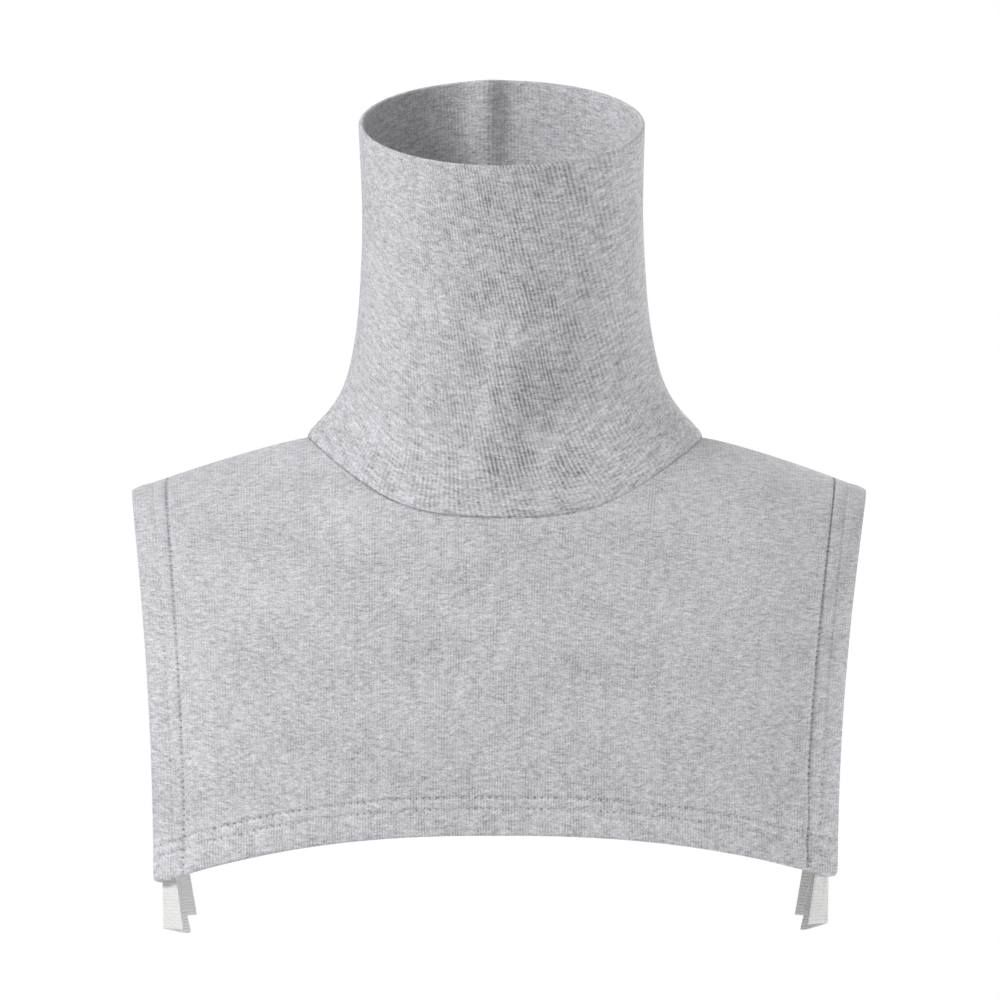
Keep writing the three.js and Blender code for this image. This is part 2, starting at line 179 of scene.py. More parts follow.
def foldPush(folds, placeName, alongName, away, along):
    # The sum of bell shapes, each leaning by its slant. away gives the distance from a fold's place.
    push = 0
    for fold in folds:
        above = along - fold[alongName]
        aside = away(fold[placeName] + fold["slant"] * above)
        push = push + fold["push"] * bell(aside, fold["width"]) * bell(above, fold["length"])
    return push


def gridNormals(points):
    # The cross product of the two directions of a grid, by differences between neighbours.
    return unit(np.cross(np.gradient(points, axis=0), np.gradient(points, axis=1)))


def pathLengths(points, axis):
    # The length of cloth from the start of each line of a grid to each of its points.
    steps = np.linalg.norm(np.diff(points, axis=axis), axis=-1)
    zero = np.zeros_like(np.take(steps, [0], axis=axis))
    return np.concatenate([zero, np.cumsum(steps, axis=axis)], axis=axis)


def shareAtLength(lengths, shares, wanted):
    # For each line, the share at which its length is the wanted one, straight between its steps.
    after = (lengths[:, None, :] < wanted[:, :, None]).sum(-1)
    after = np.clip(after, 1, lengths.shape[1] - 1)
    before = after - 1
    start = np.take_along_axis(lengths, before, 1)
    end = np.take_along_axis(lengths, after, 1)
    return mix(shares[before], shares[after], np.clip((wanted - start) / (end - start), 0, 1))


# Meshes

def gridQuads(values):
    # The four corners of each face of a grid, in order round the face.
    corners = [values[:-1, :-1], values[1:, :-1], values[1:, 1:], values[:-1, 1:]]
    return np.stack(corners, 2).reshape(-1, 4, *values.shape[2:])


def enclosedVolume(points, quads):
    a, b, c, d = (points[quads[:, corner]] for corner in range(4))
    return (np.cross(a, b) * c + np.cross(a, c) * d).sum() / 6


def makePiece(name, points, quads, material, uvs=None, values=None):
    # points are in millimetres. uvs gives two numbers for each corner of each face, and values
    # gives one number for each point.
    used, quads = np.unique(quads, return_inverse=True)
    quads = quads.reshape(-1, 4)
    points = points[used]
    if enclosedVolume(points, quads) < 0:
        quads = quads[:, ::-1]
        uvs = {key: uv[:, ::-1] for key, uv in (uvs or {}).items()}
    mesh = bpy.data.meshes.new(name)
    mesh.from_pydata((points * millimetre).tolist(), [], quads.tolist())
    for key, uv in (uvs or {}).items():
        mesh.uv_layers.new(name=key).data.foreach_set("uv", uv.astype(np.float32).ravel())
    for key, value in (values or {}).items():
        layer = mesh.attributes.new(key, "FLOAT", "POINT")
        layer.data.foreach_set("value", value.ravel()[used].astype(np.float32))
    mesh.shade_smooth()
    mesh.update()
    mesh.materials.append(material)
    made = bpy.data.objects.new(name, mesh)
    scene.collection.objects.link(made)
    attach(made, "root")
    print(name, len(quads) * 2, "triangles")
    return made


def slabPiece(name, outer, inner, material, uvs, values=None, openTop=False):
    # A sheet between an outer and an inner grid that meet along their edges. Where the top is open,
    # a strip closes it. uvs and values are grids too.
    count = outer.shape[0] * outer.shape[1]
    outerIndex = np.arange(count).reshape(outer.shape[:2])
    innerIndex = outerIndex + count
    innerIndex[0], innerIndex[-1] = outerIndex[0], outerIndex[-1]
    innerIndex[:, -1] = outerIndex[:, -1]
    if not openTop:
        innerIndex[:, 0] = outerIndex[:, 0]

    def bothSides(outerGrid, innerGrid):
        faces = [gridQuads(outerGrid), gridQuads(innerGrid)[:, ::-1]]
        if openTop:
            faces.append(gridQuads(np.stack([innerGrid[:, 0], outerGrid[:, 0]], 1)))
        return np.concatenate(faces)

    points = np.concatenate([outer.reshape(-1, 3), inner.reshape(-1, 3)])
    values = {key: np.tile(value.ravel(), 2) for key, value in (values or {}).items()}
    corners = {key: bothSides(uv, uv) for key, uv in uvs.items()}
    return makePiece(name, points, bothSides(outerIndex, innerIndex), material, corners, values)


def ringDirections(across, upwards, sides):
    # Directions all round each point of a path: the cosine across it and the sine upwards.
    angles = np.arange(sides)[:, None] / sides * 2 * math.pi
    return across[:, None] * np.cos(angles) + upwards[:, None] * np.sin(angles)


def wrappedIndex(rings, sides, closed):
    # The numbers of a tube's points, with the first side again at the end, and the first ring too
    # where the tube is closed.
    index = np.arange(rings * sides).reshape(rings, sides)
    index = np.concatenate([index, index[:, :1]], 1)
    return np.concatenate([index, index[:1]], 0) if closed else index


def pointsAtLength(grid, lengths, length):
    # For each line of a grid, the point at which its length is the given one.
    lines = np.arange(len(grid))
    spot = (lengths < length).sum(1)
    start, end = lengths[lines, spot - 1], lengths[lines, spot]
    share = (length - start) / (end - start)
    return mix(grid[lines, spot - 1], grid[lines, spot], share[:, None])


# The dickey's shape, in the same sizes as its frame

body = dict(
    neckSeamWidth=190,
    shoulderWidth=353,
    shoulderDrop=25,
    shoulderLineY=5,
    shoulderAside=-2.8,
    hemWidth=325,
    hemAside=-4.5,
    hemCurve=1.12,  # the hem's length along its curve, as a share of its width
    neckShare=0.52,  # the share of a panel that hangs from the neck seam
    shoulderBend=1.2,
    crownBend=1.08,
    hemBend=2.4,
    taperBend=2.05,
    fanBend=0.8,
    asideBend=1.5,
    foldDepth=3.2,
    foldFade=0.15,
    seamFacing=[  # how far the cloth faces up along the neck seam, from the front round to the back
        dict(halfTurns=-0.5, up=1.3),  # mirrors the third row
        dict(halfTurns=0, up=0.27),
        dict(halfTurns=0.5, up=1.3),
        dict(halfTurns=1, up=0.6),
        dict(halfTurns=1.5, up=1.3),  # mirrors the third row
    ],
)
neckEdge = body["neckSeamWidth"] / body["shoulderWidth"]
halfHem = body["hemWidth"] / 2 * body["hemCurve"]

frontSide = dict(
    facing=-1,
    cut=(0.39, 0.24),  # flat, in metres
    cutArea=0.08,
    reach=104,
    length=185,
    cornerDrops=(27, 24),  # left and right
    crown=19.5,
    crownSoftening=0.6,
    neckReach=75,
    neckBend=1.01,
    roundness=2.4,
    roundWidth=1.055,
    fall=[
        dict(across=-0.35, fall=1.95),  # mirrors the third row
        dict(across=0, fall=2.1),
        dict(across=0.35, fall=1.95),
        dict(across=0.7, fall=2.1),
        dict(across=1, fall=2.6),
    ],
    folds=[
        dict(across=-0.84, down=0.86, slant=0, width=0.07, length=0.3, push=0.55),
        dict(across=-0.93, down=0.8, slant=0, width=0.03, length=0.3, push=-0.5),
        dict(across=0.86, down=0.8, slant=0.05, width=0.06, length=0.28, push=-0.6),
        dict(across=0.72, down=0.42, slant=0.2, width=0.09, length=0.3, push=0.4),
        dict(across=0.04, down=0.98, slant=0, width=0.05, length=0.12, push=0.4),
    ],
    creases=[  # sharper ones, which the frame leaves out
        dict(across=-0.9, down=0.84, slant=0.02, width=0.014, length=0.2, push=-0.3),
        dict(across=0.9, down=0.86, slant=0.35, width=0.022, length=0.07, push=0.4),
        dict(across=0.95, down=0.92, slant=0.4, width=0.02, length=0.06, push=-0.4),
        dict(across=0.8, down=0.9, slant=0.3, width=0.03, length=0.08, push=-0.25),
    ],
)
backSide = dict(
    facing=1,
    cut=(0.39, 0.26),
    cutArea=0.09,
    reach=92,
    length=195,
    cornerDrops=(18, 18),
    crown=38,
    crownSoftening=2.5,
    neckReach=58,
    neckBend=1,
    roundness=2.6,
    roundWidth=1.05,
    fall=[
        dict(across=-0.35, fall=2.9),
        dict(across=0, fall=3.2),
        dict(across=0.35, fall=2.9),
        dict(across=0.7, fall=2.4),
        dict(across=1, fall=2.4),
    ],
    folds=[
        dict(across=-0.3, down=0.72, slant=0.05, width=0.13, length=0.35, push=0.7),
        dict(across=0.08, down=0.8, slant=-0.05, width=0.12, length=0.3, push=-0.8),
        dict(across=0.45, down=0.75, slant=0.04, width=0.13, length=0.35, push=0.6),
    ],
    creases=[
        dict(across=-0.88, down=0.8, slant=-0.1, width=0.025, length=0.15, push=-0.3),
        dict(across=0.9, down=0.75, slant=0.1, width=0.03, length=0.2, push=0.3),
    ],
)


def shoulderLine(side, across, drop):
    # Outside the collar it falls as a power of the way out. Under the collar it rises to a crown,
    # which gets softer further down.
    out = (np.abs(across) - neckEdge) / (1 - neckEdge)
    fallen = -body["shoulderDrop"] * np.maximum(out, 0) ** body["shoulderBend"]
    bend = body["crownBend"] + side["crownSoftening"] * drop
    crown = side["crown"] * np.maximum(1 - (across / neckEdge) ** 2, 0) ** bend
    return np.where(out > 0, fallen, crown)


def panelReach(side, across):
    # A superellipse from the chest round to the side edges.
    around = np.abs(across / side["roundWidth"]) ** side["roundness"]
    return side["reach"] * (1 - around) ** (1 / side["roundness"])


def panelPoint(side, across, angle):
    # Across is -1 to 1 between the side edges. The angle turns from 0 on the shoulder line, where
    # the cloth lies flat, to a quarter turn at the hem, where it hangs, along a superellipse.
    fall = readTable(side["fall"], "across", "fall", np.abs(across))
    drop = 1 - np.maximum(np.cos(angle), 0) ** (2 / fall)
    forward = np.maximum(np.sin(angle), 0) ** (2 / fall)
    taper = 1 - (1 - drop) ** body["taperBend"]
    out = np.maximum((np.abs(across) - neckEdge) / (1 - neckEdge), 0)
    cornerDrop = np.where(across < 0, *side["cornerDrops"])
    hemHeight = -side["length"] - cornerDrop * np.abs(across) ** body["hemBend"]
    halfWidth = mix(body["shoulderWidth"], body["hemWidth"], taper) / 2
    aside = mix(body["shoulderAside"] * out ** body["asideBend"], body["hemAside"], taper)
    x = across * halfWidth + aside
    y = body["shoulderLineY"] + side["facing"] * panelReach(side, across) * forward
    z = mix(shoulderLine(side, across, drop), hemHeight, drop)
    return np.stack(np.broadcast_arrays(x, y, z), -1)


def neckSeamSpot(side, turn):
    # Where the neck seam runs on a panel. The turn is 0 at the front and half a turn at the back.
    across = np.sin(turn) * neckEdge
    fall = readTable(side["fall"], "across", "fall", np.abs(across))
    forward = side["neckReach"] * np.abs(np.cos(turn)) ** side["neckBend"]
    forward = forward / panelReach(side, across)
    return across, np.arcsin(np.clip(forward, 0, 1) ** (fall / 2))


def neckSeamPoint(turn):
    front, back = (panelPoint(side, *neckSeamSpot(side, turn)) for side in (frontSide, backSide))
    return np.where((np.cos(turn) > 0)[..., None], front, back)


def neckSeamFacing(turn):
    # The direction that the cloth's outer side faces along the neck seam, between the panel's and
    # the collar's, square to the seam.
    halfTurns = np.abs(np.arctan2(np.sin(turn), np.cos(turn))) / math.pi
    up = readTable(body["seamFacing"], "halfTurns", "up", halfTurns)
    little = 0.01
    along = unit(neckSeamPoint(turn + little) - neckSeamPoint(turn - little))
    facing = np.stack([np.sin(turn), -np.cos(turn), up], -1)
    return unit(facing - along * (facing * along).sum(-1, keepdims=True))


# Finishes

stitching = dict(
    pitch=3.4,
    rows=(12.5, 17.8),  # from the bottom edge
    # the painted shade of each row, at its needle holes and along its groove
    rowPaintedShades=(0.75, 0.9),  # how dark each row looks
    sideRows=(10.6, 17.2),  # from a side edge
    sidePaintedShades=(0.5, 1.4),
    linesLeftOut=4,  # of the grid, at both ends of a row
    rowFade=1.2,  # how much of a row's shade is lost with each millimetre aside
    # painted shade at a needle hole and along the groove between the holes
    holePaintedShade=0.75,
    betweenPaintedShade=0.16,
    holeSharpness=6.0,
    holeBlend=0.1,
)

knit = dict(
    light=(0.68, 0.674, 0.705),
    dark=(0.17, 0.168, 0.178),
    shade=0.32,  # the share of the dark colour before the flecks
    flecks=[  # pale and dark fibres, from fine to broad, drawn out along the courses
        dict(scale=(1.05, 1.6), detail=2, seed=(0, 0, 0), weight=0.25),
        dict(scale=(0.36, 1.0), detail=2, seed=(7, 3, 0), weight=0.21),
        dict(scale=(0.16, 0.45), detail=2, seed=(13, 5, 0), weight=0.17),
        dict(scale=(0.022, 0.035), detail=1, seed=(3, 17, 0), weight=0.05),
    ],
    walePitch=1.45,  # the ribs that run up and down the cloth
    waleDepth=0.22,
    waleWander=0.12,  # as a share of the pitch
    wanderScale=(0.25, 0.08),
    # painted shade: how much darker the cloth is painted in the valleys between open ribs
    valleyPaintedShade=0.36,
    patches=dict(scale=(0.16, 0.06), detail=2, seed=(5, 9, 0)),  # where ribs open more or less
    patchSwing=0.7,
    patchMean=0.9,
    patchLeast=0.15,
    fuzz=0.22,  # stray fibres' relief, as a share of the ribs'
    noiseTurn=0.6,
    noiseRoughness=0.6,
    # painted light: the bottom hem's turned band is painted a little paler, fading out above it
    hemPaintedLight=0.07,
    hemPaintedLightUpTo=19,  # from the bottom edge
    hemPaintedLightFade=8,
    surface={
        "Roughness": 0.95, "Specular IOR Level": 0.2, "Sheen Weight": 0.18, "Sheen Roughness": 0.5,
    },
)

yarn = dict(
    # painted shade and highlight: the thread is painted darker in the hollows between strands and paler
    # on them, by the noise of its relief
    between=0.8,  # shares of the knit's light colour, between the strands and on them
    onStrands=1.1,
    strandScale=900.0,
    strandDetail=2.0,
    relief=0.15,
    reliefStrength=0.7,
    surface={"Roughness": 0.85, "Sheen Weight": 0.1},
)


def newMaterial(name, surface):
    material = bpy.data.materials.new(name)
    material.use_nodes = True
    tree = material.node_tree
    shader = tree.nodes["Principled BSDF"]
    for key, value in surface.items():
        shader.inputs[key].default_value = value
    return material, tree, shader


def addNode(tree, kind, inputs, **settings):
    made = tree.nodes.new(kind)
    for key, value in settings.items():
        setattr(made, key, value)
    for key, value in inputs.items():
        if isinstance(value, bpy.types.NodeSocket):
            tree.links.new(value, made.inputs[key])
        else:
            made.inputs[key].default_value = value
    return made


def math2(tree, operation, a, b=0.0, c=0.0):
    return addNode(tree, "ShaderNodeMath", {0: a, 1: b, 2: c}, operation=operation).outputs[0]


def clothPlace(tree, layer):
    # A place on the cloth in millimetres, by one of its UV maps, and its two numbers on their own.
    place = addNode(tree, "ShaderNodeUVMap", {}, uv_map=layer).outputs[0]
    axes = addNode(tree, "ShaderNodeSeparateXYZ", {"Vector": place})
    return place, axes.outputs["X"], axes.outputs["Y"]


def noise2(tree, vector, scale, detail=2.0, seed=(0, 0, 0)):
    # Noise on the cloth's own coordinates, scaled by its two directions, and spread from around a
    # half to -1 to 1 or so. It is turned, so that the noise's own grid doesn't follow the ribs.
    placed = addNode(tree, "ShaderNodeMapping", {
        "Vector": vector, "Location": seed, "Scale": (*scale, 1), "Rotation": (0, 0, knit["noiseTurn"]),
    })
    made = addNode(
        tree, "ShaderNodeTexNoise", {
            "Vector": placed.outputs[0], "Scale": 1.0, "Detail": detail,
            "Roughness": knit["noiseRoughness"],
        },
        noise_dimensions="2D",
    )
    return math2(tree, "MULTIPLY_ADD", made.outputs["Fac"], 4.0, -2.0)


def mixColours(tree, shader, share, first, second):
    colour = addNode(
        tree, "ShaderNodeMix", {0: share, 6: (*first, 1), 7: (*second, 1)},
        data_type="RGBA", clamp_factor=True,
    )
    tree.links.new(colour.outputs[2], shader.inputs["Base Color"])


def addRelief(tree, shader, height, depth, strength):
    bump = addNode(
        tree, "ShaderNodeBump", {"Strength": strength, "Distance": depth * millimetre, "Height": height},
    )
    tree.links.new(bump.outputs[0], shader.inputs["Normal"])


def tinted(colour, share):
    return [share * part for part in colour]


def knitMaterial(name, stitched=False):
    material, tree, shader = newMaterial(name, knit["surface"])
    place, u, v = clothPlace(tree, "knit")

    # Wales: ridges that wander a little and fade out in patches
    patches = noise2(tree, place, **knit["patches"])
    patches = math2(tree, "MULTIPLY_ADD", patches, knit["patchSwing"], knit["patchMean"])
    patches = math2(tree, "MAXIMUM", patches, knit["patchLeast"])
    openness = addNode(tree, "ShaderNodeAttribute", {}, attribute_name="rib_open").outputs["Fac"]
    openness = math2(tree, "MULTIPLY", openness, patches)
    wander = noise2(tree, place, knit["wanderScale"], 1.0)
    wale = math2(tree, "DIVIDE", u, knit["walePitch"])
    wale = math2(tree, "MULTIPLY_ADD", wander, knit["waleWander"], wale)
    wave = math2(tree, "SINE", math2(tree, "MULTIPLY", wale, 2 * math.pi))
    ridge = math2(tree, "MULTIPLY_ADD", wave, 0.5, 0.5)

    # Melange: flecks of fibres, painted shade in the valleys between the ribs, and the stitch rows'
    # painted shade with the hem's painted light
    flecks = [noise2(tree, place, row["scale"], row["detail"], row["seed"]) for row in knit["flecks"]]
    shade = knit["shade"]
    for row, fleck in zip(knit["flecks"], flecks):
        shade = math2(tree, "MULTIPLY_ADD", fleck, row["weight"], shade)
    # Painted shade: the cloth is painted darker in the valleys between open ribs.
    valley = math2(tree, "MULTIPLY", math2(tree, "SUBTRACT", 1.0, ridge), openness)
    shade = math2(tree, "MULTIPLY_ADD", valley, knit["valleyPaintedShade"], shade)
    if stitched:
        shade = math2(tree, "ADD", shade, hemPaintedShading(tree, u, v))
    mixColours(tree, shader, shade, knit["light"], knit["dark"])

    height = math2(tree, "MULTIPLY", ridge, openness)
    height = math2(tree, "MULTIPLY_ADD", flecks[0], knit["fuzz"], height)
    addRelief(tree, shader, height, knit["waleDepth"], 1.0)
    return material


def hemPaintedShading(tree, u, v):
    # Painted shade: dark dots at the needle holes and along the stitch rows of the bottom hem and,
    # turned, of the side hems.
    # Painted light: the turned cloth of the bottom hem is painted a little paler.
    fromSide, fromBottom = clothPlace(tree, "hem")[1:]
    bottom = (fromBottom, u, stitching["rows"], stitching["rowPaintedShades"])
    sides = (fromSide, v, stitching["sideRows"], stitching["sidePaintedShades"])
    stitchPaintedShade = 0.0
    # Painted shade at the needle holes and along the stitch grooves.
    for fromEdge, along, rows, shades in (bottom, sides):
        beat = math2(tree, "PINGPONG", math2(tree, "DIVIDE", along, stitching["pitch"]), 0.5)
        steep = math2(tree, "MULTIPLY", beat, stitching["holeSharpness"])
        hole = math2(tree, "SMOOTH_MIN", 1.0, steep, stitching["holeBlend"])
        hole = math2(tree, "SUBTRACT", 1.0, hole)
        for row, dark in zip(rows, shades):
            aside = math2(tree, "ABSOLUTE", math2(tree, "SUBTRACT", fromEdge, row))
            near = math2(tree, "MULTIPLY_ADD", aside, -stitching["rowFade"], 1.0)
            near = math2(tree, "MAXIMUM", near, 0.0)
            holeDark, betweenDark = stitching["holePaintedShade"] * dark, stitching["betweenPaintedShade"] * dark
            dot = math2(tree, "MULTIPLY", near, math2(tree, "MULTIPLY_ADD", hole, holeDark, betweenDark))
            stitchPaintedShade = math2(tree, "MAXIMUM", stitchPaintedShade, dot)
    # Painted light: the turned band of the bottom hem is painted paler.
    paler = addNode(tree, "ShaderNodeMapRange", {
        "Value": fromBottom, "From Min": knit["hemPaintedLightUpTo"],
        "From Max": knit["hemPaintedLightUpTo"] + knit["hemPaintedLightFade"],
        "To Min": -knit["hemPaintedLight"], "To Max": 0.0,
    })
    return math2(tree, "ADD", stitchPaintedShade, paler.outputs[0])


def yarnMaterial():
    # The grey sewing thread and the overlocked edges, a little paler than the knit.
    material, tree, shader = newMaterial("thread", yarn["surface"])
    place = addNode(tree, "ShaderNodeTexCoord", {}).outputs["Object"]
    strands = addNode(tree, "ShaderNodeTexNoise", {
        "Vector": place, "Scale": yarn["strandScale"], "Detail": yarn["strandDetail"],
        "Roughness": knit["noiseRoughness"],
    }).outputs["Fac"]
    # Painted shade in the hollows between strands and painted highlight on them, from the relief's
    # noise.
    between, onStrands = (tinted(knit["light"], yarn[key]) for key in ("between", "onStrands"))
    mixColours(tree, shader, strands, between, onStrands)
    addRelief(tree, shader, strands, yarn["relief"], yarn["reliefStrength"])
    return material


# Collar

collar = dict(
    wall=2.4,
    layer=1.1,
    rimHeight=149.5,
    rimWidth=136,
    rimDepth=118,
    rimTiltRise=49,
    rimForward=28,
    rimAside=-1.6,
    neckWidth=136,
    neckDepth=104,
    neckForward=-2,
    foldFade=0.12,
    columns=384,
    rows=84,
    rowSpread=1.25,  # over 1 sets the rows closer together near the seam
    roundingRows=5,
    foldRows=9,
    hiddenRows=16,
    wales=226,
    frontTurn=0.15,  # where the ribs lean and open the most, in radians to the right
    twist=0.2,  # how far the ribs lean in front, as a slope
    twistWidth=1.1,
    ribsClosed=0.26,
    ribsWidth=0.62,
    ribsAtSeam=0.55,  # the share of the opening that is left by the seam
    ribsSeamFade=(4, 20),
    seamRounding=0.45,
    ridge=0.5,  # the seam allowance shows through the cloth above the seam
    ridgeWidth=6,
    ridgeRise=(0.3, 1.5),  # where it starts, in millimetres along the cloth
    ridgeFall=(0.7, 1.1),  # and where it ends, as shares of its width
    seamFacingFade=4,  # the cloth turns over this length from the seam's facing to its own
    cut=(0.44, 0.34),  # flat, before it was folded double, in metres
    flare=[
        dict(rise=0, flare=1),
        dict(rise=0.04, flare=0.86),
        dict(rise=0.09, flare=0.6),
        dict(rise=0.14, flare=0.41),
        dict(rise=0.2, flare=0.27),
        dict(rise=0.28, flare=0.16),
        dict(rise=0.38, flare=0.07),
        dict(rise=0.5, flare=0.01),
        dict(rise=0.7, flare=-0.04),
        dict(rise=1, flare=0),
    ],
    folds=[
        dict(turn=6, rise=0.5, slant=6, width=11, length=0.4, push=0.45),
        dict(turn=28, rise=0.42, slant=12, width=15, length=0.42, push=-1),
        dict(turn=62, rise=0.6, slant=-8, width=15, length=0.4, push=0.4),
        dict(turn=-40, rise=0.3, slant=0, width=24, length=0.3, push=0.35),
        dict(turn=187, rise=0.95, slant=4, width=8, length=0.3, push=-1.1),
        dict(turn=150, rise=0.6, slant=-10, width=18, length=0.35, push=0.5),
        dict(turn=215, rise=0.35, slant=12, width=20, length=0.3, push=-0.6),
    ],
    creases=[  # sharper ones, which the frame leaves out
        dict(turn=3, rise=0.38, slant=40, width=9, length=0.34, push=0.7),
        dict(turn=20, rise=0.38, slant=40, width=12, length=0.36, push=-0.8),
        dict(turn=52, rise=0.11, slant=0, width=24, length=0.07, push=0.55),
        dict(turn=187, rise=1, slant=6, width=5, length=0.2, push=-0.6),
        dict(turn=-20, rise=0.62, slant=30, width=6, length=0.2, push=0.2),
        dict(turn=48, rise=0.24, slant=60, width=7, length=0.12, push=0.35),
        dict(turn=75, rise=0.3, slant=50, width=9, length=0.16, push=-0.25),
    ],
)


def collarSurface(turn, rise):
    # An elliptic neck tube from the seam's height to the tilted rim, widened near the seam by the
    # flare times the way from the tube to the seam, and pushed in and out by the folds.
    width = mix(collar["neckWidth"], collar["rimWidth"], rise)
    depth = mix(collar["neckDepth"], collar["rimDepth"], rise)
    forward = mix(collar["neckForward"], collar["rimForward"], rise)
    seam = neckSeamPoint(turn)
    flare = readTable(collar["flare"], "rise", "flare", rise)
    baseX = collar["neckWidth"] / 2 * np.sin(turn)
    baseY = -collar["neckForward"] - collar["neckDepth"] / 2 * np.cos(turn)

    def away(foldTurn):
        angle = turn - np.radians(foldTurn)
        return np.degrees(np.arctan2(np.sin(angle), np.cos(angle)))

    folds = collar["folds"] + collar["creases"]
    push = foldPush(folds, "turn", "rise", away, rise) * body["foldDepth"]
    push = push * np.minimum(rise / collar["foldFade"], 1)
    x = width / 2 * np.sin(turn) + collar["rimAside"] * rise
    y = -forward - depth / 2 * np.cos(turn)
    x = x + flare * (seam[..., 0] - baseX) + np.sin(turn) * push
    y = y + flare * (seam[..., 1] - baseY) - np.cos(turn) * push
    rimHeight = collar["rimHeight"] - collar["rimTiltRise"] / 2 * np.cos(turn)
    return np.stack([x, y, mix(seam[..., 2], rimHeight, rise)], -1)


def roundedEdge(distance, radius):
    # How far a surface has sunk at a distance from a rounded edge: a quarter circle.
    left = np.clip(radius - distance, 0, radius)
    return radius - np.sqrt(radius**2 - left**2)


def roundingSteps(radius, count):
    # Distances from a rounded edge, at even angles of its quarter circle.
    return radius * (1 - np.cos(np.linspace(0, quarterTurn, count)))


def collarRises():
    # Rows from the seam to the start of the rim's fold, close together where the seam is rounded.
    rounding = collar["seamRounding"] / collar["rimHeight"]
    start = roundingSteps(rounding, collar["roundingRows"])
    rimStart = 1 - collar["wall"] / 2 / collar["rimHeight"]
    even = mix(rounding, rimStart, np.linspace(0, 1, collar["rows"]) ** collar["rowSpread"])
    return np.unique(np.concatenate([start, even]))[None, :]


def makeCollar(material):
    turns = np.linspace(-math.pi, math.pi, collar["columns"] + 1)[:, None]
    turnGrid, riseGrid = np.broadcast_arrays(turns, collarRises())
    points = collarSurface(turnGrid, riseGrid)
    padded = np.concatenate([points[-2:-1], points, points[1:2]])
    normals = gridNormals(padded)[1:-1]
    lengths = pathLengths(points, 1)
    facing = np.broadcast_to(neckSeamFacing(turns), points.shape)
    own = smoothStep(0, collar["seamFacingFade"], lengths)
    normals = unit(mix(facing, normals, own[..., None]))
    ridge = smoothStep(*collar["ridgeRise"], lengths)
    ridge = ridge * (1 - smoothStep(*collar["ridgeFall"], lengths / collar["ridgeWidth"]))
    relief = collar["ridge"] * ridge - roundedEdge(lengths, collar["seamRounding"])
    outer = points + normals * relief[..., None]
    inner = points - normals * collar["wall"]

    # The fold at the rim: half circles round the middle of the wall
    half = collar["wall"] / 2
    upwards = unit(points[:, -1] - points[:, -2])[:, None]
    outwards = normals[:, -1][:, None]
    centre = (points[:, -1] - normals[:, -1] * half)[:, None]

    def foldArc(radius, count):
        angles = np.linspace(0, math.pi, count + 2)[1:-1, None]
        return centre + radius * (outwards * np.cos(angles) + upwards * np.sin(angles))

    # Between the two layers: their hidden faces, with fewer rows
    picks = np.linspace(0, points.shape[1] - 1, collar["hiddenRows"]).round().astype(int)
    layer = collar["layer"]
    innerHidden = (points - normals * (collar["wall"] - layer))[:, picks]
    outerHidden = (points - normals * layer)[:, picks]
    fold = foldArc(half, collar["foldRows"])
    hiddenFold = foldArc(half - layer, 1)
    parts = [outer, fold, inner[:, ::-1], innerHidden, hiddenFold, outerHidden[:, ::-1]]
    loop = np.concatenate(parts, 1)

    # The knit's coordinates: v runs up the outer layer, over the fold and on round the loop
    height = collar["rimHeight"]
    overFold = math.pi * half
    rowsUp = riseGrid[0] * height
    rowsV = [
        rowsUp,
        height + np.linspace(0, overFold, fold.shape[1]),
        2 * height + overFold - rowsUp[::-1],
        3 * height + rowsUp[picks],
        [4 * height],
        5 * height - rowsUp[picks][::-1],
    ]
    v = np.broadcast_to(np.concatenate(rowsV)[None, :], loop.shape[:2])
    onOuter = np.minimum(v, height)
    fromFront = turns - collar["frontTurn"]
    u = turns / (2 * math.pi) * (knit["walePitch"] * collar["wales"])
    u = u + collar["twist"] * bell(fromFront, collar["twistWidth"]) * onOuter
    uv = np.stack([u, v], -1)
    uv = np.concatenate([uv, uv[:, :1]], 1)
    opened = bell(fromFront, collar["ribsWidth"])
    opened = opened * mix(collar["ribsAtSeam"], 1, smoothStep(*collar["ribsSeamFade"], onOuter))
    openness = mix(collar["ribsClosed"], 1, opened)

    count = loop.shape[1]
    index = (np.arange(collar["columns"] + 1) % collar["columns"])[:, None] * count
    index = index + (np.arange(count + 1) % count)[None, :]
    made = makePiece(
        "collar_knit", loop[:-1].reshape(-1, 3), gridQuads(index), material,
        {"knit": gridQuads(uv)}, {"rib_open": openness[:-1]},
    )
    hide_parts("collar")
    return made, dict(points=points, normals=normals, lengths=lengths)


# Panels

hem = dict(
    depth=19,
    wall=2.6,
    roundingRows=6,
    step=0.9,
    grooves=(0.5, 0.7),  # the depths of the stitch rows, from the edge inwards
    sideGrooves=(0.45, 1.15),
    grooveWidth=0.95,
    puff=0.35,
    cornerWall=0.7,  # the hems cross at the corners
    cornerRadius=4.5,
    flatSteps=(1.9, 2.8, 4, 5.5, 7.2, 8.6, 14.2),  # where the grid has lines, from the edge
    rowSteps=(-1.4, -0.8, -0.4, 0, 0.4, 0.8, 1.4),  # and from each stitch row
    turnedSteps=(0.15, 0.5, 0.85, 1.3),  # and across the step, as shares of it
    leastStep=0.04,
    crossingFade=(0.5, 4),  # one hem's relief fades towards the other's edge
)

panel = dict(
    wall=1.3,
    seamRounding=0.45,
    seamSteps=(0, 0.08, 0.25, 0.5, 0.8, 1.2, 1.9, 3),
    seamReliefFade=2,
    seamFacingFade=3.5,
    facingTurn=0.04,  # from the neck seam's facing to the shoulder's, as a share across
    middleColumns=210,
    middleRows=76,
    fineness=240,
    shoulderRun=85,  # the length of cloth from the shoulder line forward to the hanging part
    ribsClosed=0.3,
    ribsAtHem=0.26,
    ribsHemFade=(6, 34),
    ribsInMiddle=0.12,
    ribsMiddleWidth=0.4,
)


